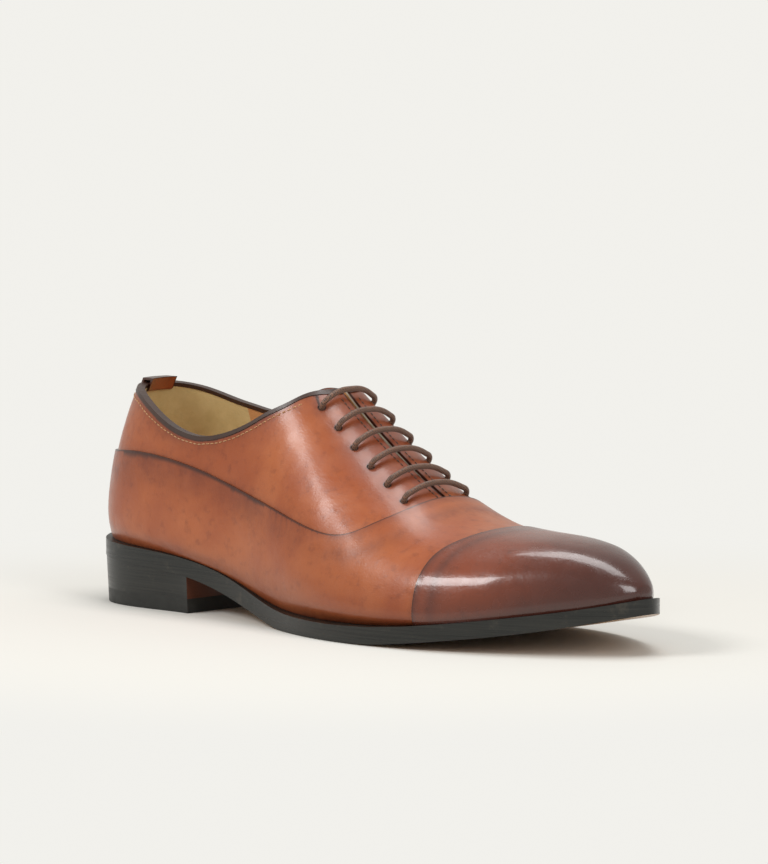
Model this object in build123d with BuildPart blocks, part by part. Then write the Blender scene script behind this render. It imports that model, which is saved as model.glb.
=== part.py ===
"""Right-foot men's cap-toe oxford shoe, size EU 42, built as its separate pieces.

Frame: millimetres, +Z up, +X towards the toe, +Y towards the inner (medial) side of the foot.
The origin is the centre of the heel's ground face.

Every leather layer is cut from one shape, the last (the foot form that a shoe is built on).
A level is a distance inwards from the outside of the vamp, so each layer lies between two levels.
"""
from build123d import *
import math
import os

import numpy as np
from scipy.interpolate import CubicSpline, PchipInterpolator

os.makedirs("parts", exist_ok=True)

# ---------------------------------------------------------------- driving dimensions
# Levels: distance inwards from the outer face of the vamp.
CAP_OUTER = -1.0
VAMP_OUTER = 0.0
QUARTER_OUTER = 1.1
UPPER_INNER = 2.2
LINING_OUTER = 3.0
LINING_INNER = 3.9
BINDING_OUTER = 0.8
BINDING_INNER = 4.2
TAB_OUTER = -0.1
TAB_INNER = 5.1
TONGUE_TOP_LEVEL = 4.6
TONGUE_LOW_LEVEL = 7.2
TONGUE_LEATHER = 1.1
TONGUE_LINING = 0.8

SEAM_OVERLAP = 8.0          # how far one panel runs on under the next
MARGIN_THICKNESS = 1.2
INSOLE_THICKNESS = 2.4
SOCK_THICKNESS = 0.8
WELT_THICKNESS = 2.2
SHANK_LENGTH, SHANK_WIDTH, SHANK_THICKNESS = 96.0, 14.0, 1.0

HEEL_BREAST_X = 33.4        # front face of the heel
HEEL_TAPER = 0.965          # size at the ground against the size at the seat
TOP_PIECE_THICKNESS = 6.0   # the rubber that meets the ground
LIFT_THICKNESS = 3.4
LIFT_COUNT = 3
SEAT_HEIGHT = 24.0          # height at which the heel reaches the sole's own plan
NAIL_RADIUS, NAIL_LENGTH, NAIL_COUNT = 0.8, 15.0, 7
NAIL_RING, NAIL_START = 25.0, 1.2

BINDING_HEIGHT = 1.8
GAP_CENTRE_Y = 1.2          # the lacing gap lies a little to the inner side
GAP_TOP_WIDTH, GAP_LOW_WIDTH = 4.8, 1.2
LACE_ROWS = 6
LACE_RADIUS = 1.2
BAR_LEVEL = -1.6            # middle of the lace where it leaves a hole
BAR_ARCH, BAR_ARCH_HALF = 1.2, 6.5
RUN_LEVEL = 5.25            # middle of the lace under the facing
WIDEST_BEND = 60.0
LEAD_LENGTH = 3.0
AGLET_RADIUS, AGLET_LENGTH = 1.35, 18.0

# The two ends of the lace, tucked into the shoe: from under the facing, down the inner wall
# and along the sock, one to the heel and one to the toe (x, y, z).
HEEL_TAIL = [(94.3, 18.6, 80.2), (95.2, 22.9, 71.5), (95.4, 25.6, 62.5), (91.5, 26.0, 53.5),
             (84.5, 24.5, 44.0), (75.0, 20.0, 34.5), (63.0, 13.5, 27.0), (49.0, 5.5, 26.6),
             (33.0, -3.5, 29.2), (16.0, -11.0, 30.9), (1.0, -13.5, 31.8), (-11.0, -9.0, 32.4),
             (-14.5, 2.5, 32.7)]
TOE_TAIL = [(104.4, 19.4, 73.6), (105.4, 23.6, 66.2), (107.6, 26.4, 58.6), (113.0, 28.0, 51.2),
            (120.5, 28.0, 42.5), (128.0, 25.5, 33.5), (136.5, 20.5, 24.5), (146.5, 13.5, 17.2),
            (159.0, 6.5, 14.0), (173.0, 1.5, 14.9), (187.0, 2.0, 16.4), (198.0, 9.5, 17.8)]
HOLE_RADIUS = 1.5
EYELET_RADIUS = 2.7
EYELET_THICKNESS = 0.35

# The last, from heel to toe: x, outer half width, inner half width, middle y, z of the widest
# point, z of the ridge, fullness of each side (2 is an ellipse), lean of each side.
LAST = np.array([
    (-33.4, 0.0, 0.0, 0.0, 41.0, 41.0, 2.0, 2.0, 0.00, 0.00),
    (-31.6, 10.8, 10.8, 0.0, 41.0, 58.0, 2.0, 2.0, 0.04, 0.04),
    (-26.0, 20.6, 20.6, 0.0, 41.0, 79.0, 2.1, 2.1, 0.12, 0.12),
    (-16.5, 27.8, 27.8, 0.0, 40.0, 100.0, 2.2, 2.2, 0.20, 0.20),
    (0.0, 32.4, 32.2, 0.0, 39.0, 121.0, 2.3, 2.3, 0.22, 0.22),
    (25.0, 34.2, 33.2, 0.0, 37.0, 131.0, 2.3, 2.3, 0.20, 0.20),
    (50.0, 34.8, 32.2, 0.0, 33.0, 129.0, 2.2, 2.2, 0.18, 0.18),
    (75.0, 37.0, 32.6, 0.0, 29.0, 114.0, 2.1, 2.3, 0.14, 0.12),
    (97.0, 41.8, 35.6, 0.0, 25.0, 94.5, 2.1, 2.6, 0.12, 0.10),
    (120.0, 46.6, 40.0, 0.0, 19.0, 77.0, 2.05, 2.4, 0.12, 0.08),
    (145.0, 49.2, 44.6, 0.4, 15.5, 60.5, 2.0, 2.1, 0.10, 0.05),
    (168.0, 49.0, 46.6, 1.2, 14.0, 50.0, 2.1, 2.1, 0.06, 0.02),
    (190.0, 45.8, 45.0, 2.2, 14.5, 44.6, 2.3, 2.2, 0.04, 0.02),
    (212.0, 38.0, 38.0, 3.6, 16.5, 44.0, 2.4, 2.3, 0.03, 0.02),
    (231.0, 28.2, 28.0, 4.6, 19.0, 42.2, 2.4, 2.3, 0.02, 0.02),
    (243.5, 20.4, 19.4, 5.0, 21.0, 38.8, 2.3, 2.2, 0.00, 0.00),
    (252.0, 13.6, 12.4, 4.8, 23.0, 34.4, 2.2, 2.1, 0.00, 0.00),
    (257.6, 7.0, 6.4, 4.8, 24.6, 29.8, 2.1, 2.0, 0.00, 0.00),
    (260.2, 0.0, 0.0, 4.8, 25.4, 25.4, 2.0, 2.0, 0.00, 0.00),
])
HEEL_X, TOE_X = LAST[0, 0], LAST[-1, 0]

# Feather line: where the upper meets the top of the welt (x, z).
FEATHER = [(-38, 28.0), (-10, 26.0), (33, 22.9), (60, 17.2), (90, 8.9), (118, 6.9),
           (150, 7.2), (185, 10.1), (215, 14.2), (240, 18.3), (270, 25.2)]
# Underside of the outsole, behind and in front of the flat tread (x, z).
WAIST_UNDERSIDE = [(-38, 20.7), (-10, 18.9), (HEEL_BREAST_X, 15.5), (60, 9.3), (88, 1.7), (104, 0.0)]
WAIST_ENDS = [(1, -0.06), (1, 0)]
TOE_UNDERSIDE = [(146, 0.0), (165, 1.0), (187, 3.5), (211, 6.7), (236, 10.9), (270, 18.6)]
TOE_ENDS = [(1, 0), (1, 0.24)]
# Plan of the sole edge, round from the back of the heel along the outer side (x, y).
SOLE_PLAN = [(-34.2, 0), (-32.6, -11), (-27.4, -20.4), (-18, -28.2), (0, -32.4), (33.4, -32.2),
             (59, -32.9), (88, -38.8), (116, -48), (142, -52), (169, -50.6), (191, -45.9),
             (211, -38.2), (231, -27.8), (244.5, -18.6), (254, -10.6), (260.8, -3.2), (263.8, 4.8),
             (261, 12.2), (254.4, 19.6), (244.5, 27.8), (231, 36.6), (211, 45.4), (191, 50),
             (169, 50.6), (142, 46), (116, 36.5), (88, 29.5), (59, 28), (33.4, 30),
             (0, 32), (-18, 28.2), (-27.4, 20.4), (-32.6, 11)]

# Plan of the cork filling, inside the turned-in edge of the upper (x, y).
FILLER_PLAN = [(-21.5, 0), (-18, -11.5), (-9, -18), (4, -20), (33, -19.5), (60, -20), (88, -25.5),
               (116, -34), (142, -38.5), (169, -37.5), (191, -32.5), (211, -24), (229, -12),
               (243, 0.5), (248, 7), (243, 13), (229, 22.5), (211, 31.5), (191, 36.5), (169, 37),
               (142, 33), (116, 24), (88, 17), (59, 15.5), (33, 17.5), (4, 19.5), (-9, 17.5),
               (-18, 11.5)]
# Plan of the heel, the sole's own plan behind the breast (x, y).
HEEL_PLAN = [(33.4, 30), (0, 32), (-18, 28.2), (-27.4, 20.4), (-32.6, 11), (-34.2, 0),
             (-32.6, -11), (-27.4, -20.4), (-18, -28.2), (0, -32.4), (33.4, -32.2)]

# Edge of the mouth on the outer and the inner side (x, z), ending at the top of the facing.
TOPLINE_OUTER = [(-45, 93.2), (-22, 92.6), (-5.7, 89.1), (6.5, 84), (16.8, 79.6), (26.9, 76.4),
                 (38, 74.9), (49.1, 76.2), (58.1, 78.9), (66.4, 82.7), (74, 87.1), (83.5, 92),
                 (90, 96), (96, 96.4), (104, 93)]
TOPLINE_INNER = [(-45, 93.2), (-22, 92.6), (-5.9, 88.6), (4, 85.4), (15.3, 82.8), (26.5, 80.9),
                 (39, 80.2), (54, 82.2), (68, 86.8), (80, 92), (90, 96.2), (96, 96.5), (104, 93)]
# Seam between the vamp and the quarters, up to the throat (x, z).
VAMP_SEAM = [(-45, 63), (-22.7, 64), (2.6, 65.7), (20.5, 64.6), (44.2, 60.4), (68, 54.4),
             (95, 48), (110, 44.4), (121.7, 42.2), (130.7, 41.9), (138.5, 43.9), (144.8, 47.7),
             (150.1, 51.4), (152.9, 55), (154.4, 62)]
# Seam between the toe cap and the vamp (x, z).
CAP_SEAM = [(179.4, 0), (180.2, 18), (179.9, 32), (181.2, 39), (184.6, 43.2), (189, 48)]
# Top edge of the stiff heel counter (x, z).
COUNTER_EDGE = [(-45, 72), (-10, 66), (20, 52), (42, 38), (56, 20), (58, 0)]

# Lace holes: the top row and the step from row to row.
TOP_HOLE_X, HOLE_STEP_X = 96.3, 10.1
TOP_HOLE_OFFSET, HOLE_OFFSET_STEP = 15.4, 0.6

# Hidden layers, tongue and tab.
PUFF_X = 190.0              # rear edge of the toe puff
THROAT_X = 156.0            # front end of the quarters and their backers
STAY_X, STAY_WIDTH = 84.0, 24.0
HEEL_LINING_EDGE = [(8, 120), (22, 20)]
VAMP_LINING_EDGE = [(116, 0), (157, 46), (157, 120)]
TAB_WIDTH, TAB_RISE = 14.0, 0.9
TAB_LOW, TAB_HIGH = 82.0, 94.0
TONGUE_TOP_X, HINGE_X = 85.0, 155.0
TONGUE_TOP_WIDTH, TONGUE_LOW_WIDTH = 42.0, 36.0

BIG = 80.0                  # half width of every cutting tool
POINTS_ROUND = 20           # points round one section of the last
SECTIONS = 18
POLE_CAP = 0.3              # flat left at the two closed ends of the last


# ---------------------------------------------------------------- the last
def last_angle(x):
    """Angle that spreads stations evenly round the closed heel and toe."""
    return np.arccos(np.clip(1 - 2 * (np.asarray(x, float) - HEEL_X) / (TOE_X - HEEL_X), -1, 1))


stations = PchipInterpolator(last_angle(LAST[:, 0]), LAST[:, 1:], axis=0)
feather_height = CubicSpline(*np.array(FEATHER).T)


def last_surface(x, turn):
    """Points of the last; turn is 0 at the outer side, pi/2 on the ridge, pi at the inner side."""
    w_out, w_in, mid, z_wide, z_top, n_out, n_in, lean_out, lean_in = np.moveaxis(
        stations(last_angle(x)), -1, 0)
    cos, sin = np.cos(turn), np.sin(turn)
    outer = cos > 0
    width = np.where(outer, w_out, w_in)
    power = 2 / np.where(outer, n_out, n_in)
    lean = np.where(sin > 0, np.where(outer, lean_out, lean_in) * np.abs(sin), 0)
    drop = 6 + 1.9 * np.maximum(z_wide - feather_height(x), 0)
    drop = drop * w_out / np.hypot(w_out, 14)
    high = z_wide + (z_top - z_wide) * np.abs(sin) ** power
    low = z_wide - drop * np.abs(sin) ** (2 / 2.2)
    y = mid - np.sign(cos) * width * np.abs(cos) ** power * (1 - lean)
    return np.stack([x + 0 * y, y, np.where(sin > 0, high, low)], -1)


def offset_last(level):
    """Grid of points on the last, moved inwards by level, which may depend on x."""
    angle = np.linspace(0.012, math.pi - 0.012, 160)
    xs = HEEL_X + (TOE_X - HEEL_X) * (1 - np.cos(angle)) / 2
    turns = np.linspace(-math.pi / 2, 1.5 * math.pi, 4 * POINTS_ROUND, endpoint=False)
    turn, x = np.meshgrid(turns, xs)
    grid = last_surface(x, turn)
    along = np.gradient(grid, axis=0)
    around = np.roll(grid, -1, 1) - np.roll(grid, 1, 1)
    normal = np.cross(around, along)
    normal /= np.linalg.norm(normal, axis=2, keepdims=True) + 1e-12
    if normal[80, 2 * POINTS_ROUND, 2] < 0:
        normal = -normal
    depth = level(x) if callable(level) else np.full_like(x, level)
    # Under its widest line the last is too tightly curved for a deep level, and nothing uses it.
    above = np.clip(1 + 2 * np.sin(turn), 0, 1)
    depth = np.minimum(depth, LINING_INNER) + np.maximum(depth - LINING_INNER, 0) * above
    return grid - depth[..., None] * normal


def at_level(x, y, level):
    """Point of the upper half at plan place x, y and its outward direction."""
    turn = np.linspace(0.05, math.pi - 0.05, 400)
    here = last_surface(np.full_like(turn, x), turn)
    best = turn[np.argmin(np.abs(here[:, 1] - y))]
    step = 1e-3
    point = last_surface(np.array([x, x + 1, x]), np.array([best, best, best + step]))
    normal = np.cross(point[1] - point[0], (point[2] - point[0]) / step)
    normal /= np.linalg.norm(normal)
    if normal[2] < 0:
        normal = -normal
    return Vector(*(point[0] - level * normal)), Vector(*normal)


def last_solid(level, x_from=HEEL_X, x_to=TOE_X):
    """The last as a closed solid, reduced by level, or a length of it."""
    grid = offset_last(level)[:, ::4]
    middle = len(grid) // 2
    columns = []
    for column in np.moveaxis(grid, 1, 0):
        # A deep level folds over itself at the closed ends, so each line stops where it turns back.
        start = column[:middle, 0].argmin()
        stop = middle + column[middle:, 0].argmax()
        columns.append(column[start:stop + 1])
    cap = POLE_CAP if callable(level) else POLE_CAP + 0.4 * max(level, 0)
    first = max(x_from, *(column[0, 0] + cap for column in columns))
    final = min(x_to, *(column[-1, 0] - cap for column in columns))
    with BuildPart() as solid:
        for angle in np.linspace(0, math.pi, SECTIONS):
            x = first + (final - first) * (1 - math.cos(angle)) / 2
            ring = []
            for column in columns:
                y, z = (np.interp(x, column[:, 0], column[:, k]) for k in (1, 2))
                ring.append(Vector(y, z))
            knots = [k / POINTS_ROUND for k in range(POINTS_ROUND + 1)]
            with BuildSketch(Plane.YZ.offset(x)):
                with BuildLine():
                    add(Edge.make_spline(ring, periodic=True, parameters=knots))
                make_face()
        loft()
    return solid.part


# ---------------------------------------------------------------- cutting tools
def shifted(points, dx=0.0, dz=0.0):
    return [(x + dx, z + dz) for x, z in points]


def side_tool(edge, closing, y_from=-BIG, y_to=BIG, tangents=()):
    """Solid whose side view is bounded by a smooth edge and straight closing lines."""
    with BuildPart() as tool:
        with BuildSketch(Plane.XZ.offset(-y_to)):
            with BuildLine():
                Spline(*edge, tangents=tangents)
                Polyline(edge[-1], *closing, edge[0])
            make_face()
        extrude(amount=y_to - y_from)
    return tool.part


def below_feather(dz=0.0):
    return side_tool(shifted(FEATHER, dz=dz), [(270, -60), (-38, -60)])


def above_topline(dz=0.0):
    """Everything above the mouth's edge: a tool for the outer side and one for the inner."""
    return [side_tool(shifted(TOPLINE_OUTER, dz=dz), [(104, 160), (-45, 160)], -BIG, 0),
            side_tool(shifted(TOPLINE_INNER, dz=dz), [(104, 160), (-45, 160)], 0, BIG)]


def above_vamp_seam(overlap=0.0):
    """Everything above the vamp seam, or above its hidden edge when overlap is given."""
    edge = shifted(VAMP_SEAM, overlap, -overlap)
    return side_tool(edge, [(edge[-1][0], 160), (edge[0][0], 160)])


def ahead_of_cap_seam(overlap=0.0):
    edge = shifted(CAP_SEAM, overlap)
    return side_tool(edge, [(edge[-1][0] + 30, 90), (290, 90), (290, 0)])


def plan_tool(points, z_from=-BIG, z_to=2 * BIG):
    """Upright prism over a polygon in plan."""
    with BuildPart() as tool:
        with BuildSketch(Plane.XY.offset(z_from)):
            with BuildLine():
                Polyline(*points, close=True)
            make_face()
        extrude(amount=z_to - z_from)
    return tool.part


def half_space(sign):
    """Everything on one side of the middle plane: -1 is the outer side, 1 the inner."""
    return plan_tool([(-60, 0), (300, 0), (300, sign * BIG), (-60, sign * BIG)])


def plan_prism(outline, z_from=-20.0, z_to=60.0):
    """Upright prism over a smooth closed outline in plan."""
    with BuildPart() as tool:
        with BuildSketch(Plane.XY.offset(z_from)):
            with BuildLine():
                Spline(*outline, periodic=True)
            make_face()
        extrude(amount=z_to - z_from)
    return tool.part


def feather_band(low, high):
    """Layer that follows the feather line, between two heights above it."""
    upper = shifted(FEATHER, dz=high)
    lower = shifted(FEATHER, dz=low)
    with BuildPart() as tool:
        with BuildSketch(Plane.XZ.offset(-BIG)):
            with BuildLine():
                Spline(*upper)
                Line(upper[-1], lower[-1])
                Spline(*reversed(lower))
                Line(lower[0], upper[0])
            make_face()
        extrude(amount=2 * BIG)
    return tool.part


def finish(part, name, pieces=1):
    """Label a node and write it; an offcut thinner than the leather is dropped."""
    solids = sorted(part.solids(), key=lambda solid: solid.volume)[-pieces:]
    part = Part(children=[]) + solids if len(part.solids()) > pieces else part
    part.label = name
    export_step(part, f"parts/{name}.step")
    print(f"{name:24s} {part.volume:10.0f} mm3  solids {len(part.solids())}")


# The shapes that several pieces share are made once.
core = plan_prism(FILLER_PLAN)
under_margin = below_feather(MARGIN_THICKNESS)
under_feather = below_feather()
levels = {level: last_solid(level) for level in (
    CAP_OUTER, VAMP_OUTER, QUARTER_OUTER, UPPER_INNER, LINING_OUTER, LINING_INNER)}
open_mouth = above_topline(-BINDING_HEIGHT)
outer_half, inner_half = half_space(-1), half_space(1)
seam_zone = above_vamp_seam(SEAM_OVERLAP)
lacing_gap = plan_tool([
    (80, GAP_CENTRE_Y - GAP_TOP_WIDTH / 2), (158, GAP_CENTRE_Y - GAP_LOW_WIDTH / 2),
    (158, GAP_CENTRE_Y + GAP_LOW_WIDTH / 2), (80, GAP_CENTRE_Y + GAP_TOP_WIDTH / 2)])


def hole_place(row, side):
    """Plan place of a lace hole; row 0 is the top one, side -1 the outer facing."""
    y = GAP_CENTRE_Y + side * (TOP_HOLE_OFFSET + row * HOLE_OFFSET_STEP)
    return TOP_HOLE_X + row * HOLE_STEP_X, y


def lace_holes(radius, outer_level, inner_level):
    """Short rods at every lace hole, square to the leather."""
    with BuildPart() as rods:
        for side in (-1, 1):
            for row in range(LACE_ROWS):
                base, outward = at_level(*hole_place(row, side), inner_level)
                with BuildSketch(Plane(origin=base, z_dir=outward)):
                    Circle(radius)
                extrude(amount=inner_level - outer_level)
    return rods.part


drill = lace_holes(HOLE_RADIUS, -4.0, 8.0)


# ---------------------------------------------------------------- sole
with BuildPart() as outsole:
    top = shifted(FEATHER, dz=-WELT_THICKNESS)
    with BuildSketch(Plane.XZ.offset(-BIG)):
        with BuildLine():
            Spline(*top)
            Line(top[-1], TOE_UNDERSIDE[-1])
            Spline(*TOE_UNDERSIDE, tangents=TOE_ENDS)
            Line(TOE_UNDERSIDE[0], WAIST_UNDERSIDE[-1])
            Spline(*WAIST_UNDERSIDE, tangents=WAIST_ENDS)
            Line(WAIST_UNDERSIDE[0], top[0])
        make_face()
    extrude(amount=2 * BIG)
    add(plan_prism(SOLE_PLAN), mode=Mode.INTERSECT)
finish(outsole.part, "outsole")

with BuildPart() as welt:
    add(feather_band(-WELT_THICKNESS, 0))
    add(plan_prism(SOLE_PLAN), mode=Mode.INTERSECT)
    add(core, mode=Mode.SUBTRACT)
finish(welt.part, "welt")

with BuildPart() as shank:
    with BuildSketch(Plane.XY.offset(-20)):
        with Locations((SHANK_LENGTH / 2 + 2, 0)):
            SlotOverall(SHANK_LENGTH, SHANK_WIDTH)
    extrude(amount=80)
    add(feather_band(MARGIN_THICKNESS - SHANK_THICKNESS, MARGIN_THICKNESS), mode=Mode.INTERSECT)
finish(shank.part, "shank")

with BuildPart() as cork_filler:
    add(feather_band(-WELT_THICKNESS, MARGIN_THICKNESS))
    add(core, mode=Mode.INTERSECT)
    add(shank.part, mode=Mode.SUBTRACT)
finish(cork_filler.part, "cork_filler")

insole_top = MARGIN_THICKNESS + INSOLE_THICKNESS
with BuildPart() as insole:
    add(feather_band(MARGIN_THICKNESS, insole_top))
    add(levels[LINING_INNER], mode=Mode.INTERSECT)
finish(insole.part, "insole")

with BuildPart() as sock_liner:
    add(feather_band(insole_top, insole_top + SOCK_THICKNESS))
    add(levels[LINING_INNER], mode=Mode.INTERSECT)
finish(sock_liner.part, "sock_liner")


# ---------------------------------------------------------------- heel
def heel_slice(low, high):
    """Slice of the heel between two heights; the heel is slightly smaller at the ground."""
    with BuildPart() as piece:
        for height in (low, high):
            size = HEEL_TAPER + (1 - HEEL_TAPER) * height / SEAT_HEIGHT
            with BuildSketch(Plane.XY.offset(height)):
                with BuildLine():
                    Spline(*[(x, y * size) if x > 0 else (x * size, y * size) for x, y in HEEL_PLAN])
                    Line((HEEL_BREAST_X, HEEL_PLAN[-1][1] * size),
                         (HEEL_BREAST_X, HEEL_PLAN[0][1] * size))
                make_face()
        loft(ruled=True)
    return piece.part


with BuildPart() as heel_nails:
    with BuildSketch(Plane.XY.offset(NAIL_START)):
        for k in range(NAIL_COUNT):
            angle = math.radians(90 + 180 * k / (NAIL_COUNT - 1))
            with Locations((NAIL_RING * math.cos(angle), NAIL_RING * math.sin(angle))):
                Circle(NAIL_RADIUS)
    extrude(amount=NAIL_LENGTH)
finish(heel_nails.part, "heel_nails", NAIL_COUNT)

lift_tops = [TOP_PIECE_THICKNESS + LIFT_THICKNESS * k for k in range(LIFT_COUNT)] + [SEAT_HEIGHT]
lift_names = ["heel_top_piece"] + [f"heel_lift_{k + 1}" for k in range(LIFT_COUNT)]
for low, high, lift_name in zip([0.0] + lift_tops, lift_tops, lift_names):
    with BuildPart() as lift:
        add(heel_slice(low, high))
        if high == SEAT_HEIGHT:
            add(side_tool(WAIST_UNDERSIDE, [(104, 60), (-38, 60)], tangents=WAIST_ENDS),
                mode=Mode.SUBTRACT)
        add(heel_nails.part, mode=Mode.SUBTRACT)
    finish(lift.part, lift_name)

def side_region(points):
    """Prism across the shoe over a polygon in side view."""
    with BuildPart() as tool:
        with BuildSketch(Plane.XZ.offset(-BIG)):
            with BuildLine():
                Polyline(*points, close=True)
            make_face()
        extrude(amount=2 * BIG)
    return tool.part


def layer_piece(name, layer, keep=(), remove=()):
    """One piece of a leather layer, kept inside some tools and cleared of others."""
    with BuildPart() as piece:
        add(layer)
        for tool in keep:
            add(tool, mode=Mode.INTERSECT)
        for tool in remove:
            add(tool, mode=Mode.SUBTRACT)
    finish(piece.part, name)
    return piece.part


# ---------------------------------------------------------------- outer leather
with BuildPart() as turned_in:
    add(levels[UPPER_INNER])
    add(under_margin, mode=Mode.SUBTRACT)
hollow = turned_in.part
# The cork's space, which the turned-in edge leaves open, goes no higher than that edge.
low_core = core & below_feather(MARGIN_THICKNESS + 1)

with BuildPart() as vamp:
    add(levels[VAMP_OUTER])
    add(under_feather, mode=Mode.SUBTRACT)
    add(hollow, mode=Mode.SUBTRACT)
    add(low_core, mode=Mode.SUBTRACT)
    add(above_vamp_seam(), mode=Mode.SUBTRACT)
    add(ahead_of_cap_seam(SEAM_OVERLAP), mode=Mode.SUBTRACT)
    add(levels[QUARTER_OUTER] & seam_zone, mode=Mode.SUBTRACT)
finish(vamp.part, "vamp")

with BuildPart() as toe_cap:
    add(levels[CAP_OUTER])
    add(under_feather, mode=Mode.SUBTRACT)
    add(hollow, mode=Mode.SUBTRACT)
    add(low_core, mode=Mode.SUBTRACT)
    add(ahead_of_cap_seam(), mode=Mode.INTERSECT)
    add(levels[VAMP_OUTER] - ahead_of_cap_seam(SEAM_OVERLAP), mode=Mode.SUBTRACT)
finish(toe_cap.part, "toe_cap")

quarter_layer = (levels[QUARTER_OUTER] - levels[UPPER_INNER]) & seam_zone
for side_name, half, mouth in (("lateral", outer_half, open_mouth[0]),
                               ("medial", inner_half, open_mouth[1])):
    layer_piece(f"{side_name}_quarter", quarter_layer, [half], [mouth, lacing_gap, drill])

# ---------------------------------------------------------------- edge trim
topline = above_topline()
rim_shell = last_solid(BINDING_OUTER) - last_solid(BINDING_INNER)

rim_halves = []
for half, mouth, edge in zip((outer_half, inner_half), open_mouth, topline):
    with BuildPart() as rim:
        add(rim_shell)
        add(half, mode=Mode.INTERSECT)
        add(mouth, mode=Mode.INTERSECT)
        add(edge, mode=Mode.SUBTRACT)
        add(lacing_gap, mode=Mode.SUBTRACT)
    rim_halves.append(rim.part)
finish(rim_halves[0] + rim_halves[1], "topline_binding")

with BuildPart() as heel_tab:
    add(last_solid(TAB_OUTER, x_to=30))
    add(last_solid(TAB_INNER, x_to=40), mode=Mode.SUBTRACT)
    add(plan_tool([(-60, -TAB_WIDTH / 2), (0, -TAB_WIDTH / 2), (0, TAB_WIDTH / 2),
                   (-60, TAB_WIDTH / 2)]), mode=Mode.INTERSECT)
    add(side_region([(-60, TAB_LOW), (0, TAB_LOW), (0, TAB_HIGH), (-60, TAB_HIGH)]),
        mode=Mode.INTERSECT)
    add(last_solid(BINDING_OUTER, x_to=34) - last_solid(BINDING_INNER, x_to=36)
        - side_region([(-60, TAB_HIGH - TAB_RISE), (0, TAB_HIGH - TAB_RISE), (0, 160), (-60, 160)]),
        mode=Mode.SUBTRACT)
finish(heel_tab.part, "heel_tab")


# ---------------------------------------------------------------- hidden layers
under_sock = below_feather(MARGIN_THICKNESS)
stiffener_layer = levels[UPPER_INNER] - levels[LINING_OUTER] - under_sock
lining_layer = levels[LINING_OUTER] - levels[LINING_INNER] - under_sock

counter_zone = side_tool(COUNTER_EDGE, [(58, -60), (-45, -60)])
ahead_of_puff = side_region([(PUFF_X, -60), (300, -60), (300, 160), (PUFF_X, 160)])
ahead_of_throat = side_region([(THROAT_X, -60), (300, -60), (300, 160), (THROAT_X, 160)])
stay_zone = plan_tool([(STAY_X, -STAY_WIDTH), (THROAT_X, -STAY_WIDTH),
                       (THROAT_X, STAY_WIDTH), (STAY_X, STAY_WIDTH)])
behind_heel_seam = side_region(HEEL_LINING_EDGE + [(-60, 20), (-60, 120)])
ahead_of_lining_seam = side_region(VAMP_LINING_EDGE + [(300, 120), (300, 0)])
washer_seats = lace_holes(EYELET_RADIUS, 1.0, 4.0)

layer_piece("heel_counter", stiffener_layer, [counter_zone])
layer_piece("toe_puff", stiffener_layer, [ahead_of_puff])
layer_piece("vamp_backer", stiffener_layer, [ahead_of_throat], [ahead_of_puff])
layer_piece("heel_lining", lining_layer, [behind_heel_seam], open_mouth)
layer_piece("vamp_lining", lining_layer, [ahead_of_lining_seam])
for side_name, half, mouth in (("lateral", outer_half, open_mouth[0]),
                               ("medial", inner_half, open_mouth[1])):
    layer_piece(f"{side_name}_facing_stay", stiffener_layer, [stay_zone, half],
                [mouth, lacing_gap, washer_seats])
    layer_piece(f"{side_name}_backer", stiffener_layer, [half],
                [mouth, counter_zone, ahead_of_throat, stay_zone])
    layer_piece(f"{side_name}_lining", lining_layer, [half],
                [mouth, behind_heel_seam, ahead_of_lining_seam, lacing_gap, drill])

middle_level = (UPPER_INNER + LINING_OUTER) / 2
with BuildPart() as blind_eyelets:
    add(lace_holes(EYELET_RADIUS, middle_level - EYELET_THICKNESS / 2,
                   middle_level + EYELET_THICKNESS / 2))
    add(drill, mode=Mode.SUBTRACT)
finish(blind_eyelets.part, "blind_eyelets", 2 * LACE_ROWS)


# ---------------------------------------------------------------- tongue
def tongue_level(x):
    """The tongue lies deeper under the lacing and rises where it leaves the mouth."""
    rise = np.clip((92 - x) / 10, 0, 1)
    rise = rise * rise * (3 - 2 * rise)
    return TONGUE_LOW_LEVEL + (TONGUE_TOP_LEVEL - TONGUE_LOW_LEVEL) * rise


tongue_zone = plan_tool([
    (TONGUE_TOP_X, GAP_CENTRE_Y - TONGUE_TOP_WIDTH / 2 + 5),
    (TONGUE_TOP_X + 6, GAP_CENTRE_Y - TONGUE_TOP_WIDTH / 2),
    (HINGE_X, GAP_CENTRE_Y - TONGUE_LOW_WIDTH / 2),
    (HINGE_X, GAP_CENTRE_Y + TONGUE_LOW_WIDTH / 2),
    (TONGUE_TOP_X + 6, GAP_CENTRE_Y + TONGUE_TOP_WIDTH / 2),
    (TONGUE_TOP_X, GAP_CENTRE_Y + TONGUE_TOP_WIDTH / 2 - 5)], 30, 140)
tongue_faces = [last_solid(lambda x, extra=extra: tongue_level(x) + extra, 66, 160)
                for extra in (0, TONGUE_LEATHER, TONGUE_LEATHER + TONGUE_LINING)]
for name, outer_face, inner_face in (("tongue", *tongue_faces[:2]),
                                     ("tongue_lining", *tongue_faces[1:])):
    layer_piece(name, outer_face, [tongue_zone], [inner_face])


# ---------------------------------------------------------------- lace
def lace_point(row, side, level, shift=0.0, outboard=0.0):
    """Point of the lace by a hole; shift moves it down the rows, outboard away from the gap."""
    x, y = hole_place(row, side)
    point, outward = at_level(x + shift * HOLE_STEP_X, y + side * outboard, level)
    return point


def stitch_down(row, side, going_in):
    """The lace through one hole, from the bar outside to the run inside or back."""
    ends = [lace_point(row, side, BAR_LEVEL), lace_point(row, side, RUN_LEVEL)]
    return ends if going_in else ends[::-1]


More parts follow.
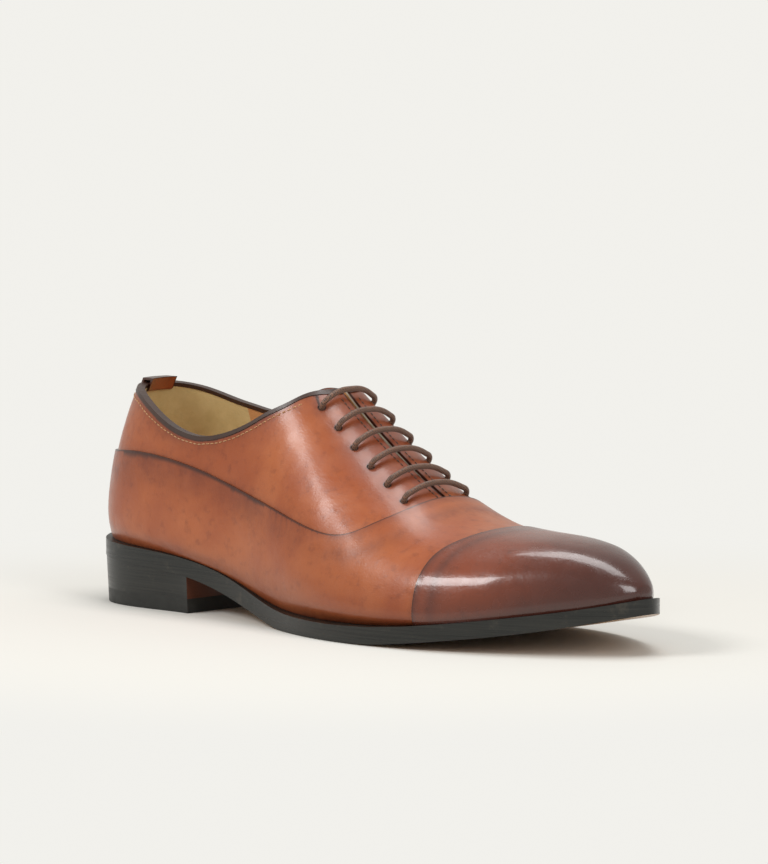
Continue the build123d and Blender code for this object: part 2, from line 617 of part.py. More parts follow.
def bar(row, side):
    """The bar over the gap, seen from the hole it leaves on this side."""
    x = hole_place(row, side)[0]
    return [at_level(x, GAP_CENTRE_Y + side * offset_y, BAR_LEVEL - BAR_ARCH)[0]
            for offset_y in (BAR_ARCH_HALF, -BAR_ARCH_HALF)]


def run(row_from, row_to, side, outboard):
    """The run along the underside of a facing, led past the holes between its ends."""
    step = 1 if row_to > row_from else -1
    rows = range(row_from + step, row_to, step)
    return [lace_point(row, side, RUN_LEVEL, 0, outboard) for row in rows]


def lead(tail):
    """Start of a tucked end and a point in line behind it, so that both tubes share a face."""
    first, second = Vector(*tail[0]), Vector(*tail[1])
    return [first, first - (second - first).normalized() * LEAD_LENGTH]


# Rows count from the top. Straight bar lacing, begun and ended on the inner side.
route = lead(TOE_TAIL)
route += stitch_down(1, 1, False) + bar(1, 1) + stitch_down(1, -1, True)
route += run(1, 3, -1, -3.4)
route += stitch_down(3, -1, False) + bar(3, -1) + stitch_down(3, 1, True)
route += run(3, 5, 1, -3.4)
route += stitch_down(5, 1, False) + bar(5, 1) + stitch_down(5, -1, True)
route += stitch_down(4, -1, False) + bar(4, -1) + stitch_down(4, 1, True)
route += run(4, 2, 1, 3.4)
route += stitch_down(2, 1, False) + bar(2, 1) + stitch_down(2, -1, True)
route += run(2, 0, -1, 3.4)
route += stitch_down(0, -1, False) + bar(0, -1) + stitch_down(0, 1, True)
route += lead(HEEL_TAIL)[::-1]


def bend_radii(points, wanted):
    """Radius at each corner: the wanted one, or what its two runs leave room for."""
    radii = []
    for before, corner, after in zip(points, points[1:], points[2:]):
        turn = math.radians((corner - before).get_angle(after - corner))
        room = 0.45 * min((corner - before).length, (after - corner).length)
        radii.append(min(wanted, room / math.tan(turn / 2)))
    return radii


def cord_tube(points, wanted, radius):
    """Round cord along straight runs joined by tangent arcs."""
    radii = bend_radii(points, wanted)
    with BuildPart() as tube:
        with BuildLine() as path:
            FilletPolyline(*points, radius=radii)
        with BuildSketch(Plane(origin=points[0], z_dir=points[1] - points[0])):
            Circle(radius)
        sweep(path=path.wires()[0], transition=Transition.RIGHT)
    length = path.wires()[0].length
    print(f"length {length:.0f} mm, tightest bend {min(radii):.1f} mm, "
          f"volume {tube.part.volume:.0f} against {math.pi * radius ** 2 * length:.0f}")
    return tube.part


finish(cord_tube(route, WIDEST_BEND, LACE_RADIUS), "lace")
for tail_name, points in (("heel_lace_tail", HEEL_TAIL), ("toe_lace_tail", TOE_TAIL)):
    tail = [Vector(*point) for point in points]
    finish(cord_tube(tail, WIDEST_BEND, LACE_RADIUS), tail_name)
    with BuildPart() as aglet:
        with BuildSketch(Plane(origin=tail[-1], z_dir=tail[-1] - tail[-2])):
            Circle(AGLET_RADIUS)
        extrude(amount=AGLET_LENGTH)
        fillet(aglet.faces().filter_by(GeomType.PLANE).edges(), AGLET_RADIUS / 3)
    finish(aglet.part, tail_name.replace("lace_tail", "aglet"))
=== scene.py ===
import math

import bmesh
import bpy
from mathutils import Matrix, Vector, noise
from mathutils.bvhtree import BVHTree
from mathutils.kdtree import KDTree


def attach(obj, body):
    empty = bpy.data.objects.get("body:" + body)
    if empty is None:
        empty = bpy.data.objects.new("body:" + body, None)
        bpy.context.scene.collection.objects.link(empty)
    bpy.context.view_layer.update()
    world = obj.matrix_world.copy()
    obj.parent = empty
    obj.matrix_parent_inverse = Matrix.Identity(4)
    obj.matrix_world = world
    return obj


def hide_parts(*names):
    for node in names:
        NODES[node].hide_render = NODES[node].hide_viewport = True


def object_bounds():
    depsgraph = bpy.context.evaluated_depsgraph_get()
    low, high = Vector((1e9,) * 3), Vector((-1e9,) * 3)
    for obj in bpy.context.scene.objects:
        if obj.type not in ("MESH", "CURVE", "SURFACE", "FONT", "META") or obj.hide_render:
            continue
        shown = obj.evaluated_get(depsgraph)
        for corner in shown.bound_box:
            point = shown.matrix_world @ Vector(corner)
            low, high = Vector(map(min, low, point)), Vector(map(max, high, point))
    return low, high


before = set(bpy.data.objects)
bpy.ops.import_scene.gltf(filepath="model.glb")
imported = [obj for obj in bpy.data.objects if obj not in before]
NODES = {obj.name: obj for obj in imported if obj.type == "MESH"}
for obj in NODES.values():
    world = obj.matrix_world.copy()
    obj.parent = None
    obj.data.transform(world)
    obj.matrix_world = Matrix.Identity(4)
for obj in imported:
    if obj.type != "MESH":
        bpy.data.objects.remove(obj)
CAD_BOX = [list(corner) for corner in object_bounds()]
GAP_CENTRE = 0.0012         # the lacing gap lies a little to the inner side
TAB_FOLD_FRONT = -0.0214    # ahead of this x the heel tab is its fold inside the mouth
TAB_FOLD_LOW = 0.0885

# ---------------------------------------------------------------- camera
AZIMUTH, ELEVATION, DISTANCE = math.radians(45), math.radians(6.8), 2.946
ORBIT_CENTRE = Vector((0.0982, 0, 0.02946))
AIM = Vector((0.1042, 0.0142, 0.0781))
FOCAL_LENGTH = 295.9
level = math.cos(ELEVATION)
back = Vector((math.sin(AZIMUTH) * level, -math.cos(AZIMUTH) * level, math.sin(ELEVATION)))
camera_data = bpy.data.cameras.new("camera")
camera_data.lens, camera_data.sensor_width = FOCAL_LENGTH, 36
camera_data.clip_start, camera_data.clip_end = 0.05, 100
camera = bpy.data.objects.new("camera", camera_data)
bpy.context.collection.objects.link(camera)
camera.location = ORBIT_CENTRE + back * DISTANCE
camera.rotation_euler = (AIM - camera.location).to_track_quat("-Z", "Y").to_euler()
scene = bpy.context.scene
scene.camera = camera
scene.view_settings.view_transform = "Standard"


# ---------------------------------------------------------------- node helpers
class Shader:
    """A Principled material and short calls for the nodes that feed it."""

    def __init__(self, name, **settings):
        self.material = bpy.data.materials.new(name)
        self.material.use_nodes = True
        self.tree = self.material.node_tree
        self.surface = self.tree.nodes["Principled BSDF"]
        for key, value in settings.items():
            self.surface.inputs[key.replace("_", " ")].default_value = value
        coordinates = self.tree.nodes.new("ShaderNodeTexCoord")
        self.place, self.normal = coordinates.outputs["Object"], coordinates.outputs["Normal"]

    def node(self, kind, inputs=(), **settings):
        made = self.tree.nodes.new(kind)
        for key, value in settings.items():
            setattr(made, key, value)
        for key, value in dict(inputs).items():
            self.feed(value, made.inputs[key])
        return made

    def feed(self, value, socket):
        if isinstance(value, bpy.types.NodeSocket):
            self.tree.links.new(value, socket)
        else:
            socket.default_value = value

    def stretched(self, scale, turn=(0, 0, 0)):
        made = self.node("ShaderNodeMapping", {"Vector": self.place, "Scale": scale, "Rotation": turn})
        return made.outputs[0]

    def noise(self, scale, detail=4.0, rough=0.55, distortion=0.0, vector=None):
        inputs = {"Vector": vector or self.place, "Scale": scale, "Detail": detail, "Roughness": rough,
                  "Distortion": distortion}
        return self.node("ShaderNodeTexNoise", inputs).outputs[0]

    def cells(self, scale):
        return self.node("ShaderNodeTexVoronoi", {"Vector": self.place, "Scale": scale}).outputs[0]

    def waves(self, scale, vector, distortion=0.0):
        inputs = {"Vector": vector, "Scale": scale, "Distortion": distortion}
        return self.node("ShaderNodeTexWave", inputs).outputs[1]

    def math(self, operation, *values):
        made = self.node("ShaderNodeMath", operation=operation)
        for index, value in enumerate(values):
            self.feed(value, made.inputs[index])
        return made.outputs[0]

    def ramp(self, value, low, high, out_low=0.0, out_high=1.0):
        made = self.node("ShaderNodeMapRange", {0: value, 1: low, 2: high, 3: out_low, 4: out_high},
                         interpolation_type="SMOOTHSTEP")
        return made.outputs[0]

    def mix(self, factor, first, second):
        made = self.node("ShaderNodeMix", data_type="RGBA")
        self.feed(factor, made.inputs[0])
        for index, colour in ((6, first), (7, second)):
            linked = isinstance(colour, bpy.types.NodeSocket)
            self.feed(colour if linked else (*colour, 1), made.inputs[index])
        return made.outputs[2]

    def axis(self, name, source=None):
        return self.node("ShaderNodeSeparateXYZ", {0: source or self.place}).outputs[name]

    def attribute(self, name):
        return self.node("ShaderNodeAttribute", attribute_name=name).outputs["Fac"]

    def bump(self, height, strength, distance, under=None):
        inputs = {"Height": height, "Strength": strength, "Distance": distance}
        if under:
            inputs["Normal"] = under
        return self.node("ShaderNodeBump", inputs).outputs[0]

    def done(self, colour, rough, normal):
        """The material, with roughness left as set on the shader if it is None."""
        for value, key in ((colour, "Base Color"), (rough, "Roughness"), (normal, "Normal")):
            if value is not None:
                self.feed(value, self.surface.inputs[key])
        return self.material


def calf_grain(s, strength=0.22):
    """Fine pores, hair-line creases and a slow waviness under them."""
    slow = s.bump(s.noise(55, 3, 0.5, 0.4), 0.35, 0.0012)
    crease = s.bump(s.noise(260, 5, 0.62, 1.2), 0.25, 0.0003, slow)
    return s.bump(s.cells(1500), strength, 0.00012, crease)


COGNAC, GLOW = (0.30, 0.066, 0.016), (0.39, 0.105, 0.029)
MAHOGANY, NEAR_BLACK = (0.115, 0.020, 0.007), (0.022, 0.006, 0.004)


def cognac_calf(name, facings=False):
    """Hand-finished cognac calf: mottled, darker along the edges and low down; the thin near-black line at
    each cut edge is part ink, part painted seam shade.
    """
    s = Shader(name, Coat_Weight=0.35, Coat_Roughness=0.16, Coat_IOR=1.45, IOR=1.45,
               Specular_IOR_Level=0.5)
    colour = s.mix(s.ramp(s.noise(22, 5, 0.6, 0.5), 0.35, 0.68), COGNAC, GLOW)
    spots = s.math("MULTIPLY", s.ramp(s.noise(210, 6, 0.68), 0.5, 0.72), 0.35)
    colour = s.mix(spots, colour, MAHOGANY)
    worn = s.math("MULTIPLY", s.attribute("edge"), s.ramp(s.noise(90, 4), 0.25, 0.7, 0.45, 1.0))
    colour = s.mix(s.math("MULTIPLY", worn, 0.75), colour, MAHOGANY)
    low = s.ramp(s.axis("Z"), 0.036, 0.008)
    colour = s.mix(s.math("MULTIPLY", low, 0.32), colour, MAHOGANY)
    if facings:
        near = s.math("ABSOLUTE", s.math("SUBTRACT", s.axis("Y"), GAP_CENTRE))
        near = s.math("MULTIPLY", s.ramp(near, 0.030, 0.010), s.ramp(s.axis("X"), 0.06, 0.11))
        near = s.math("MULTIPLY", near, s.ramp(s.noise(70, 5, 0.65, 0.6), 0.3, 0.7, 0.25, 1.0))
        colour = s.mix(s.math("MULTIPLY", near, 0.7), colour, (0.17, 0.030, 0.009))
    # Near-black line hugging each cut edge: partly the edge's ink, partly painted shade where one panel
    # meets the next.
    colour = s.mix(s.ramp(s.attribute("edge"), 0.86, 0.985, 0.0, 0.85), colour, NEAR_BLACK)
    rough = s.ramp(s.noise(120, 4), 0.3, 0.7, 0.30, 0.42)
    return s.done(colour, rough, calf_grain(s))


def burnished_calf(name):
    """The toe cap: cognac by its seam, worked up to dark mahogany at the tip and along the welt."""
    s = Shader(name, Coat_Weight=0.55, Coat_Roughness=0.08, Coat_IOR=1.5, IOR=1.5, Specular_IOR_Level=0.5)
    uneven = s.math("MULTIPLY", s.math("SUBTRACT", s.noise(45, 4, 0.6, 0.5), 0.5), 0.03)
    along = s.ramp(s.math("ADD", s.axis("X"), uneven), 0.183, 0.252)
    colour = s.mix(along, (0.22, 0.042, 0.011), (0.050, 0.0075, 0.0025))
    low = s.ramp(s.math("ADD", s.axis("Z"), uneven), 0.030, 0.012)
    forward = s.ramp(s.axis("X"), 0.19, 0.24, 0.35, 0.8)
    colour = s.mix(s.math("MULTIPLY", low, forward), colour, NEAR_BLACK)
    colour = s.mix(s.math("MULTIPLY", s.attribute("edge"), 0.85), colour, (0.060, 0.012, 0.006))
    spots = s.math("MULTIPLY", s.ramp(s.noise(230, 6, 0.68), 0.5, 0.75), 0.4)
    colour = s.mix(spots, colour, (0.05, 0.010, 0.005))
    # Near-black line hugging each cut edge: partly the edge's ink, partly painted shade where the cap meets
    # the vamp.
    colour = s.mix(s.ramp(s.attribute("edge"), 0.86, 0.985, 0.0, 0.85), colour, NEAR_BLACK)
    rough = s.ramp(s.noise(120, 4), 0.3, 0.7, 0.22, 0.32)
    return s.done(colour, rough, calf_grain(s, 0.12))


def raw_edge(name):
    s = Shader(name, Roughness=0.5)
    colour = s.mix(s.noise(700, 3), (0.020, 0.009, 0.006), (0.050, 0.020, 0.011))
    return s.done(colour, None, s.bump(s.noise(2200, 3), 0.3, 0.0001))


def dark_trim(name):
    s = Shader(name, Coat_Weight=0.2, Coat_Roughness=0.25)
    colour = s.mix(s.noise(160, 5, 0.6), (0.022, 0.011, 0.008), (0.060, 0.024, 0.014))
    return s.done(colour, s.ramp(s.noise(300, 3), 0.3, 0.7, 0.36, 0.5), s.bump(s.cells(1900), 0.2, 0.0001))


def soft_lining(name, low, high, nap, sheen=0.0):
    s = Shader(name, Sheen_Weight=sheen, Sheen_Roughness=0.45)
    colour = s.mix(s.ramp(s.noise(40, 5, 0.65), 0.3, 0.7), low, high)
    colour = s.mix(s.math("MULTIPLY", s.noise(900, 4), 0.3), colour, low)
    height = s.noise(nap, 4, 0.7)
    return s.done(colour, s.ramp(height, 0.3, 0.7, 0.6, 0.85), s.bump(height, 0.5, 0.0002))


def inked_edge(name):
    """Sole and stacked heel: inked rims with the layers' lines, tan below, a red-brown heel breast."""
    s = Shader(name, Coat_Weight=0.15, Coat_Roughness=0.22, Specular_IOR_Level=0.35)
    layers = s.noise(1.0, 4, 0.6, 0.0, s.stretched((24, 24, 1500)))
    colour = s.mix(s.ramp(layers, 0.35, 0.68), (0.006, 0.0065, 0.0055), (0.018, 0.018, 0.015))
    scuffs = s.math("MULTIPLY", s.ramp(s.noise(130, 5, 0.7), 0.56, 0.72), 0.35)
    colour = s.mix(scuffs, colour, (0.075, 0.062, 0.045))
    grain = s.noise(240, 5, 0.6)
    tan = s.mix(grain, (0.36, 0.19, 0.085), (0.50, 0.29, 0.14))
    under = s.ramp(s.axis("Z", s.normal), -0.55, -0.8)
    colour = s.mix(under, colour, tan)
    facing_forward = s.ramp(s.axis("X", s.normal), 0.8, 0.95)
    breast = s.math("MULTIPLY", facing_forward, s.math("LESS_THAN", s.axis("X"), 0.036))
    colour = s.mix(breast, colour, s.mix(layers, (0.075, 0.024, 0.014), (0.13, 0.045, 0.024)))
    height = s.math("ADD", s.math("MULTIPLY", layers, 0.6), s.math("MULTIPLY", grain, 0.4))
    return s.done(colour, s.ramp(layers, 0.3, 0.7, 0.26, 0.42), s.bump(height, 0.35, 0.00025))


def rubber(name):
    s = Shader(name, Specular_IOR_Level=0.4)
    colour = s.mix(s.noise(400, 4), (0.010, 0.010, 0.009), (0.026, 0.026, 0.023))
    return s.done(colour, s.ramp(s.noise(90, 4), 0.3, 0.7, 0.42, 0.6), s.bump(s.noise(1500, 3), 0.3, 0.0001))


def braid(name, low, high, scale=420):
    """Waxed round lace: two crossed sets of strands."""
    s = Shader(name, Coat_Weight=0.15, Coat_Roughness=0.3, Sheen_Weight=0.2, Sheen_Roughness=0.4)
    one = s.waves(scale, s.stretched((1, 1, 1), (0.3, 0.5, 0.9)), 0.6)
    other = s.waves(scale, s.stretched((1, 1, 1), (-0.4, 0.6, -0.8)), 0.6)
    woven = s.math("MAXIMUM", one, other)
    colour = s.mix(s.ramp(woven, 0.35, 0.95), low, high)
    return s.done(colour, s.ramp(s.noise(500, 3), 0.3, 0.7, 0.42, 0.6), s.bump(woven, 0.7, 0.00025))


def metal(name, colour, rough):
    s = Shader(name, Metallic=1.0)
    mixed = s.mix(s.noise(300, 4), colour, tuple(0.7 * part for part in colour))
    wear = s.ramp(s.noise(700, 4), 0.3, 0.7, rough, rough + 0.15)
    return s.done(mixed, wear, s.bump(s.noise(1800, 2), 0.15, 0.0001))


def speckled(name, low, high, scale):
    s = Shader(name)
    colour = s.mix(s.ramp(s.cells(scale), 0.1, 0.7), low, high)
    rough = s.ramp(s.noise(scale, 3), 0.3, 0.7, 0.8, 0.95)
    return s.done(colour, rough, s.bump(s.cells(scale), 0.5, 0.0004))


CALF, FACING_CALF = cognac_calf("calf"), cognac_calf("facing_calf", True)
CAP = burnished_calf("burnished_calf")
RAW, TRIM, INKED = raw_edge("raw_edge"), dark_trim("binding"), inked_edge("inked_edge")
CREAM = soft_lining("cream_suede", (0.52, 0.37, 0.14), (0.70, 0.53, 0.24), 1100, 0.25)
TAN = soft_lining("tan_lining", (0.50, 0.22, 0.072), (0.63, 0.30, 0.11), 700)
NATURAL = soft_lining("natural_leather", (0.47, 0.27, 0.13), (0.58, 0.37, 0.19), 500)
CANVAS = soft_lining("stiffener", (0.55, 0.48, 0.35), (0.66, 0.60, 0.47), 900)
LACE = braid("waxed_lace", (0.030, 0.013, 0.007), (0.17, 0.075, 0.038))
AGLET = dark_trim("aglet")
THREAD = braid("thread", (0.30, 0.13, 0.045), (0.58, 0.30, 0.12), 900)
DARK_THREAD = braid("dark_thread", (0.022, 0.010, 0.007), (0.065, 0.028, 0.016), 900)

CAD_FINISH = {
    "outsole": INKED, "welt": INKED, "heel_lift_1": INKED, "heel_lift_2": INKED, "heel_lift_3": INKED,
    "heel_top_piece": rubber("top_piece_rubber"),
    "heel_nails": metal("nail_steel", (0.55, 0.55, 0.54), 0.35),
    "shank": metal("spring_steel", (0.50, 0.51, 0.53), 0.25),
    "blind_eyelets": metal("brass", (0.70, 0.50, 0.22), 0.25),
    "cork_filler": speckled("cork", (0.22, 0.12, 0.055), (0.44, 0.27, 0.14), 420),
    "insole": NATURAL, "sock_liner": TAN, "heel_counter": CANVAS, "toe_puff": CANVAS, "vamp_backer": CANVAS,
    "lateral_facing_stay": CANVAS, "medial_facing_stay": CANVAS, "lateral_backer": CANVAS,
    "medial_backer": CANVAS, "lace": LACE, "heel_aglet": AGLET, "toe_aglet": AGLET}
for node, material in CAD_FINISH.items():
    NODES[node].data.materials.clear()
    NODES[node].data.materials.append(material)


# ---------------------------------------------------------------- the leather
WELD_DISTANCE = 2e-6
SHARP_ANGLE = 0.75          # radians
EDGE_FADE = 0.0035          # how far the darker band along a cut edge reaches
CUT_FACE_LEAN = 0.35        # a seam's cut face stands across the shoe, so its normal has little y
LAST_MIDDLE_Z = 0.03
STILL_BELOW, FREE_OVER = 0.012, 0.02    # lasting marks start above the feather line


def settle(point):
    """The small unevenness that lasting leaves in the leather; one field, so that layers move together."""
    wide = noise.noise(point * 28) * 0.00030
    pulled = noise.noise(Vector((point.x * 95, point.y * 30, point.z * 60))) * 0.00014
    return wide + pulled


def worked_panel(node, material, edge_material):
    """A copy of a panel with welded points, lasting marks, an edge mask and its cut edges inked."""
    mesh = bpy.data.meshes.new("leather_" + node)
    work = bmesh.new()
    work.from_mesh(NODES[node].data)
    bmesh.ops.remove_doubles(work, verts=work.verts, dist=WELD_DISTANCE)
    work.normal_update()
    sharp = [edge for edge in work.edges
             if len(edge.link_faces) == 2 and edge.calc_face_angle(0) > SHARP_ANGLE]
    corners = {vertex for edge in sharp for vertex in edge.verts}
    tree = KDTree(max(1, len(corners)))
    for index, vertex in enumerate(corners):
        tree.insert(vertex.co, index)
    tree.balance()
    mask = work.verts.layers.float.new("edge")
    for vertex in work.verts:
        distance = tree.find(vertex.co)[2] if corners else 1.0
        vertex[mask] = math.exp(-distance / EDGE_FADE)
    for edge in sharp:
        edge.smooth = False
    for face in work.faces:
        face.smooth = True
        if edge_material:
            by_edge = any(not edge.smooth for edge in face.edges)
            narrow = all(vertex in corners for vertex in face.verts)
            across = abs(face.normal.y) < CUT_FACE_LEAN
            face.material_index = 1 if by_edge and narrow and across else 0
    for vertex in work.verts:
        away = Vector((0.0, vertex.co.y, vertex.co.z - LAST_MIDDLE_Z))
        away = away.normalized() if away.length > 1e-4 else Vector((0, 0, 1))
        held = min(1.0, max(0.0, (vertex.co.z - STILL_BELOW) / FREE_OVER))
        vertex.co += away * settle(vertex.co) * held
    if node == "heel_tab":
        # The fold inside the mouth is shallow: its lower end is drawn up to just under the binding.
        for vertex in work.verts:
            if vertex.co.x > TAB_FOLD_FRONT and vertex.co.z < TAB_FOLD_LOW:
                vertex.co.z = TAB_FOLD_LOW + 0.1 * (vertex.co.z - TAB_FOLD_LOW)
    work.to_mesh(mesh)
    work.free()
    mesh.materials.append(material)
    if edge_material:
        mesh.materials.append(edge_material)
    piece = bpy.data.objects.new("worked_" + node, mesh)
    bpy.context.collection.objects.link(piece)
    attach(piece, "tongue" if node.startswith("tongue") else "shoe")
    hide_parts(node)
    return piece


PANELS = {
    "vamp": (CALF, RAW), "toe_cap": (CAP, RAW), "lateral_quarter": (FACING_CALF, RAW),
    "medial_quarter": (FACING_CALF, RAW), "tongue": (FACING_CALF, RAW), "heel_tab": (CALF, RAW),
    "topline_binding": (TRIM, None), "heel_lining": (CREAM, None), "vamp_lining": (TAN, None),
    "lateral_lining": (TAN, None), "medial_lining": (TAN, None), "tongue_lining": (TAN, None)}
pieces = {node: worked_panel(node, *finish) for node, finish in PANELS.items()}


# ---------------------------------------------------------------- stitching
THREAD_RADIUS = 0.00024
THREAD_SHARE = 0.78         # of a stitch's step, the rest is the hole between two
STITCH_SHORTEST, STITCH_LONGEST = 0.0008, 0.006


def tree_of(piece):
    mesh = piece.data
    return BVHTree.FromPolygons([vertex.co.copy() for vertex in mesh.vertices],
                                [tuple(polygon.vertices) for polygon in mesh.polygons])


def curve_height(points, x):
    """Height of a side-view line at x; the points go from heel to toe."""
    for (x0, z0), (x1, z1) in zip(points, points[1:]):
        if x0 <= x <= x1:
            share = (x - x0) / (x1 - x0)
            return z0 + (z1 - z0) * share
    return points[-1][1]


def stitches(name, places, material):
    """Threads from place to place, each a short rounded cord that dips towards the leather at its ends."""
    work = bmesh.new()
    for (start, up_start), (end, up_end) in zip(places, places[1:]):
        along = end - start
        if not STITCH_SHORTEST < along.length < STITCH_LONGEST:
            continue
        up = (up_start + up_end).normalized()
        side = along.cross(up).normalized()
        rings = []
        for step in range(5):
            share_along = (1 - THREAD_SHARE) / 2 + THREAD_SHARE * step / 4
            lift = (0.35, 0.95, 1.1, 0.95, 0.35)[step] * THREAD_RADIUS - THREAD_RADIUS * 0.35
            size = (0.45, 0.95, 1.0, 0.95, 0.45)[step] * THREAD_RADIUS
            centre = start + along * share_along + up * lift
            rings.append([work.verts.new(centre + (side * math.cos(a) + up * math.sin(a)) * size)
                          for a in (math.tau * k / 8 for k in range(8))])
        for first, second in zip(rings, rings[1:]):
            for k in range(8):
                work.faces.new((first[k], first[(k + 1) % 8], second[(k + 1) % 8], second[k])).smooth = True
        work.faces.new(rings[0][::-1])
        work.faces.new(rings[-1])
    bmesh.ops.recalc_face_normals(work, faces=work.faces)
    mesh = bpy.data.meshes.new(name)
    work.to_mesh(mesh)
    work.free()
    mesh.materials.append(material)
    row = bpy.data.objects.new(name, mesh)
    bpy.context.collection.objects.link(row)
    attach(row, "shoe")
    return row


# The top edge from heel to facing on each side (x, z in metres).
TOP_OUTER = [(-0.045, 0.0932), (-0.022, 0.0926), (-0.0057, 0.0891), (0.0065, 0.084), (0.0168, 0.0796),
             (0.0269, 0.0764), (0.038, 0.0749), (0.0491, 0.0762), (0.0581, 0.0789), (0.0664, 0.0827),
             (0.074, 0.0871), (0.0835, 0.092), (0.09, 0.096)]
TOP_INNER = [(-0.045, 0.0932), (-0.022, 0.0926), (-0.0059, 0.0886), (0.004, 0.0854), (0.0153, 0.0828),
             (0.0265, 0.0809), (0.039, 0.0802), (0.054, 0.0822), (0.068, 0.0868), (0.08, 0.092),
             (0.09, 0.0962)]
STITCH_DROP, STITCH_STEP = 0.0036, 0.0025
FACING_STITCH_INSET, FACING_STITCH_STEP = 0.0030, 0.0023
TAB_HALF_WIDTH = 0.0078     # the topline rows stop beside the heel tab
FACING_TOP_X = 0.093        # and before the facing
GAP_TOP_X, GAP_LENGTH, GAP_TOP_HALF, GAP_NARROWING = 0.08, 0.078, 0.0024, 0.0018
OUTSIDE, ABOVE = 0.09, 0.15     # rays start clear of the shoe


def topline_row(tree, side, drop):
    """Points of a row below the top edge, from the heel tab forward."""
    heights = TOP_OUTER if side < 0 else TOP_INNER
    found = []
    for step in range(33):
        turn = math.radians(90 * step / 32)
        outward = Vector((-math.cos(turn), side * math.sin(turn), 0))
        height = 0.086
        for _ in range(4):
            hit = tree.ray_cast(Vector((0, 0, height)) + outward * OUTSIDE, -outward)
            if hit[0] is None:
                break
            height = curve_height(heights, hit[0].x) - drop
        if hit[0] is not None and abs(hit[0].y) > TAB_HALF_WIDTH:
            found.append((hit[0], hit[1]))
    for step in range(1, 45):
        x = step * 0.002
        ahead = curve_height(heights, x + 0.002) - curve_height(heights, x - 0.002)
        slope = math.atan2(ahead, 0.004)
        height = curve_height(heights, x) - math.cos(slope) * drop
        sample = Vector((x + math.sin(slope) * drop, side * OUTSIDE, height))
        hit = tree.ray_cast(sample, Vector((0, -side, 0)))
        if hit[0] is not None and hit[0].x < FACING_TOP_X:
            found.append((hit[0], hit[1]))
    return found


def spaced(places, step):
    """The same row with even spacing."""
    even, left = [places[0]], step
    for (a, up_a), (b, up_b) in zip(places, places[1:]):
        length = (b - a).length
        if length > 0.01:
            continue
        while length > 0 and left <= length:
            share = left / length
            even.append((a.lerp(b, share), up_a.lerp(up_b, share)))
            left += step
        left -= length
    return even


for label, side, node in (("lateral", -1, "lateral_quarter"), ("medial", 1, "medial_quarter")):
    tree = tree_of(pieces[node])
    topline = spaced(topline_row(tree, side, STITCH_DROP), STITCH_STEP)
    stitches(f"topline_stitches_{label}", topline, THREAD)
    row = []
    for step in range(60):
        x = 0.097 + step * 0.0011
        gap = GAP_TOP_HALF - GAP_NARROWING * (x - GAP_TOP_X) / GAP_LENGTH
        above = Vector((x, GAP_CENTRE + side * (gap + FACING_STITCH_INSET), ABOVE))
        hit = tree.ray_cast(above, Vector((0, 0, -1)))
        if hit[0] is not None:
            row.append((hit[0], hit[1]))
    stitches(f"facing_stitches_{label}", spaced(row, FACING_STITCH_STEP), DARK_THREAD)


# ---------------------------------------------------------------- the two tucked ends of the lace
def tucked_end(name, points):
    curve = bpy.data.curves.new(name, "CURVE")
    curve.dimensions, curve.bevel_depth, curve.bevel_resolution, curve.resolution_u = "3D", 0.0012, 4, 8
    line = curve.splines.new("NURBS")
    line.points.add(len(points) - 1)
    for control, (x, y, z) in zip(line.points, points):
        control.co = (x, y, z, 1)
    line.order_u = 3
    line.use_endpoint_u = True
    curve.use_fill_caps = True
    curve.materials.append(LACE)
    piece = bpy.data.objects.new(name, curve)
    bpy.context.collection.objects.link(piece)
    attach(piece, "shoe")
    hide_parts(name.replace("cord_", ""))


tucked_end("cord_heel_lace_tail", [
    (0.0943, 0.0186, 0.0802), (0.0952, 0.0229, 0.0715), (0.0954, 0.0256, 0.0625), (0.0915, 0.0260, 0.0535),
    (0.0845, 0.0245, 0.0440), (0.0750, 0.0200, 0.0345), (0.0630, 0.0135, 0.0270), (0.0490, 0.0055, 0.0266),
    (0.0330, -0.0035, 0.0292), (0.0160, -0.0110, 0.0309), (0.0010, -0.0135, 0.0318),
    (-0.0110, -0.0090, 0.0324), (-0.0145, 0.0025, 0.0327)])
tucked_end("cord_toe_lace_tail", [
    (0.1044, 0.0194, 0.0736), (0.1054, 0.0236, 0.0662), (0.1076, 0.0264, 0.0586), (0.1130, 0.0280, 0.0512),
    (0.1205, 0.0280, 0.0425), (0.1280, 0.0255, 0.0335), (0.1365, 0.0205, 0.0245), (0.1465, 0.0135, 0.0172),
    (0.1590, 0.0065, 0.0140), (0.1730, 0.0015, 0.0149), (0.1870, 0.0020, 0.0164), (0.1980, 0.0095, 0.0178)])

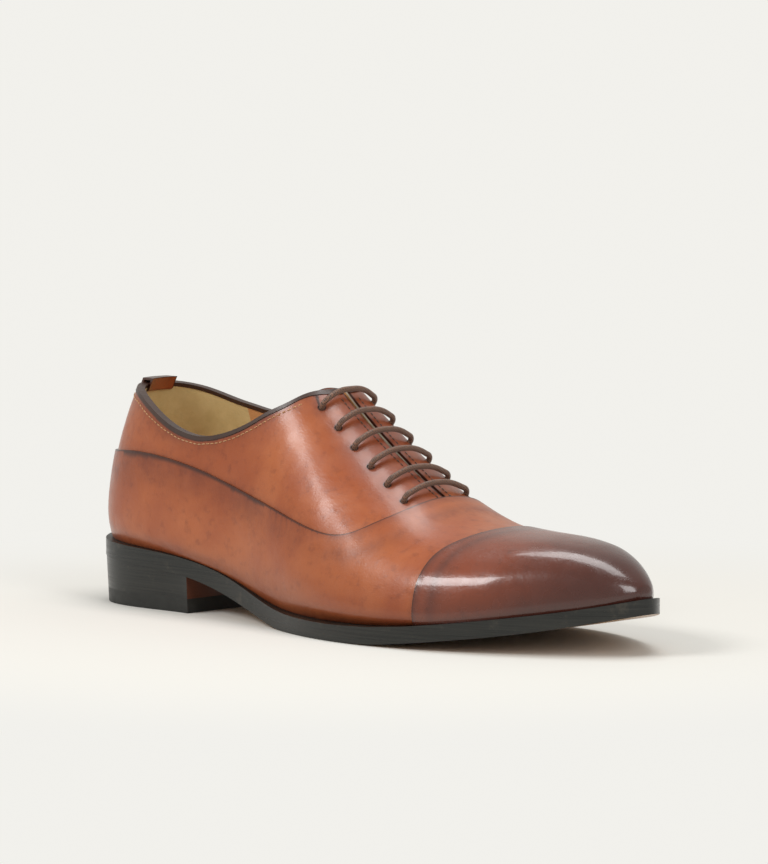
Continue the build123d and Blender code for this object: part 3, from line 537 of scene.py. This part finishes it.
# ---------------------------------------------------------------- floor and light
PAPER = (0.886, 0.876, 0.838)
FLOOR_RADIUS = 30
world = bpy.data.worlds.new("studio")
world.use_nodes = True
world.node_tree.nodes["Background"].inputs[0].default_value = (*PAPER, 1)
world.node_tree.nodes["Background"].inputs[1].default_value = 0.6
scene.world = world


def paper_floor():
    """Paper that takes the shoe's shadow and evens out to the backdrop's tone away from it."""
    s = Shader("paper", Roughness=0.9, Specular_IOR_Level=0.0)
    s.surface.inputs["Base Color"].default_value = (0.685, 0.672, 0.635, 1)
    away = s.node("ShaderNodeVectorMath", {0: s.place, 1: (0.115, 0, 0)}, operation="DISTANCE")
    glow = s.node("ShaderNodeEmission", {"Color": (*PAPER, 1), "Strength": 1.0})
    joined = s.node("ShaderNodeMixShader", {0: s.ramp(away.outputs["Value"], 0.15, 0.34)})
    s.tree.links.new(s.surface.outputs[0], joined.inputs[1])
    s.tree.links.new(glow.outputs[0], joined.inputs[2])
    s.tree.links.new(joined.outputs[0], s.tree.nodes["Material Output"].inputs[0])
    return s.material


work = bmesh.new()
bmesh.ops.create_circle(work, cap_ends=True, cap_tris=True, segments=96, radius=FLOOR_RADIUS)
floor_mesh = bpy.data.meshes.new("floor")
work.to_mesh(floor_mesh)
work.free()
floor = bpy.data.objects.new("floor", floor_mesh)
bpy.context.collection.objects.link(floor)
floor.location.z = CAD_BOX[0][2] - 0.0001
floor_mesh.materials.append(paper_floor())


def soft_light(name, place, target, size, power, colour=(1, 1, 1)):
    data = bpy.data.lights.new(name, "AREA")
    data.shape, data.size, data.size_y = "RECTANGLE", size[0], size[1]
    data.energy, data.color = power, colour
    lamp = bpy.data.objects.new(name, data)
    bpy.context.collection.objects.link(lamp)
    lamp.location = place
    lamp.rotation_euler = (Vector(target) - Vector(place)).to_track_quat("-Z", "Y").to_euler()


soft_light("key", (-0.35, -1.35, 1.25), (0.08, 0, 0.04), (0.9, 0.5), 16)
soft_light("top", (0.15, 0.25, 1.5), (0.12, 0, 0.05), (1.3, 0.5), 11)
soft_light("front", (1.5, -0.35, 0.75), (0.15, 0, 0.04), (0.5, 0.8), 7)
